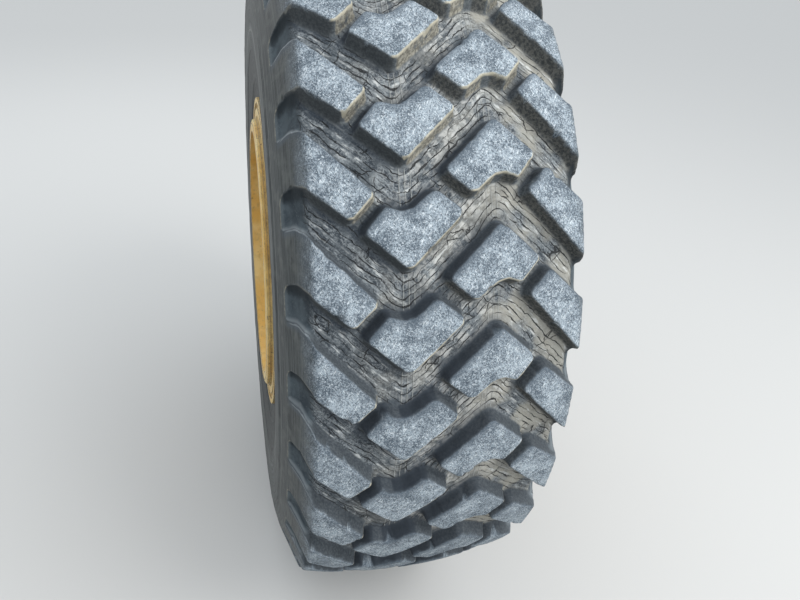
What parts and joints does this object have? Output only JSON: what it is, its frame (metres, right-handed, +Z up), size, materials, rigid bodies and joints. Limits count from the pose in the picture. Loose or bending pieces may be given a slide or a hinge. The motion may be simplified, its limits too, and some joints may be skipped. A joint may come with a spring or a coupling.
{
  "type": "motor grader front wheel on its steering knuckle",
  "caption": "Earthmover tyre on a multi-piece rim, disc and hub, turning on a steering knuckle's spindle.",
  "frame": {"origin": "centre of the kingpin's bore, at the height of the wheel's axle", "axes": "+X forward on the machine, +Y inboard, +Z up along the kingpin; the axle runs along Y"},
  "size_m": [1.4892, 0.662, 1.4874],
  "materials": {
    "tyre": "worn, weather-cracked rubber with dried mud in the grooves",
    "rim_paint": "golden yellow paint, dusty, chipped at the edges",
    "casting_paint": "golden yellow paint over rough castings and forgings, greasy at the joints",
    "bolt_steel": "dull steel with light rust",
    "ground_steel": "ground steel, oiled",
    "seal_rubber": "satin black",
    "valve_brass": "dull brass",
    "valve_cap": "matt black",
    "bush_bronze": "greased bronze"
  },
  "bodies": {
    "knuckle": {"knuckle": "casting_paint", "spindle_washer": "ground_steel", "spindle_nut": "bolt_steel", "kingpin_bushes": "bush_bronze", "steering_arm": "casting_paint", "arm_bolts": "bolt_steel", "grease_fittings": "bolt_steel"},
    "wheel": {"tyre": "tyre", "rim_base": "rim_paint", "bead_seat_band": "rim_paint", "inner_side_ring": "rim_paint", "outer_side_ring": "rim_paint", "lock_ring": "rim_paint", "wheel_disc": "rim_paint", "wheel_studs": "bolt_steel", "wheel_nuts": "bolt_steel", "hub": "casting_paint", "hub_cap": "casting_paint", "hub_cap_bolts": "bolt_steel", "hub_seal": "seal_rubber", "inner_bearing": "ground_steel", "outer_bearing": "ground_steel", "valve_stem": "valve_brass", "valve_cap": "valve_cap"}
  },
  "joints": [
    {"name": "wheel_spin", "type": "hinge", "parent": "knuckle", "child": "wheel", "pos_m": [0, -0.335, 0], "axis": [0, 1, 0], "continuous": true}
  ]
}
